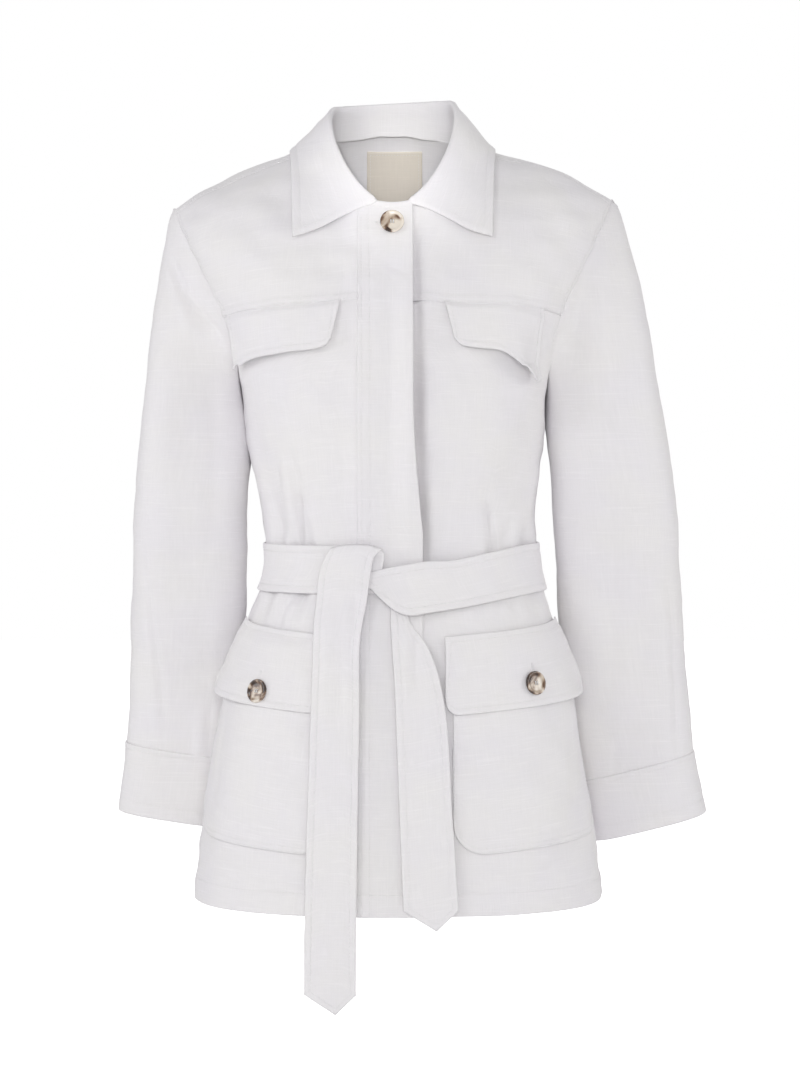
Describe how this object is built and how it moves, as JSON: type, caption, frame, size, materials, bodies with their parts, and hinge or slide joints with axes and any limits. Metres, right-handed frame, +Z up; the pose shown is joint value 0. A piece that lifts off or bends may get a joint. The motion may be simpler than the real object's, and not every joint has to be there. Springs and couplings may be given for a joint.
{
  "type": "belted jacket",
  "caption": "Hip-length white linen jacket, filled out as if worn, with a shirt collar, fly front, flapped pockets, cuffed sleeves and a tied belt.",
  "frame": {"origin": "middle of the neck, level with the tops of the shoulders, where a wearer or hanger carries the jacket", "axes": "+Z up, the front faces -Y, +X towards the wearer's left"},
  "size_m": [0.6094, 0.3028, 0.8898],
  "materials": {
    "linen": "matt white slubbed linen",
    "horn": "polished horn effect, pale brown with dark streaks",
    "label_cloth": "matt beige woven tape"
  },
  "bodies": {
    "root": {"back": "linen", "front_left": "linen", "front_right": "linen", "front_yoke_left": "linen", "front_yoke_right": "linen", "front_placket": "linen", "collar": "linen", "sleeve_left": "linen", "sleeve_right": "linen", "cuff_left": "linen", "cuff_right": "linen", "chest_flap_left": "linen", "chest_flap_right": "linen", "pocket_left": "linen", "pocket_right": "linen", "pocket_flap_left": "linen", "pocket_flap_right": "linen", "belt_band": "linen", "belt_end_long": "linen", "belt_end_short": "linen", "button_top": "horn", "button_pocket_left": "horn", "button_pocket_right": "horn", "neck_label": "label_cloth"}
  },
  "joints": []
}
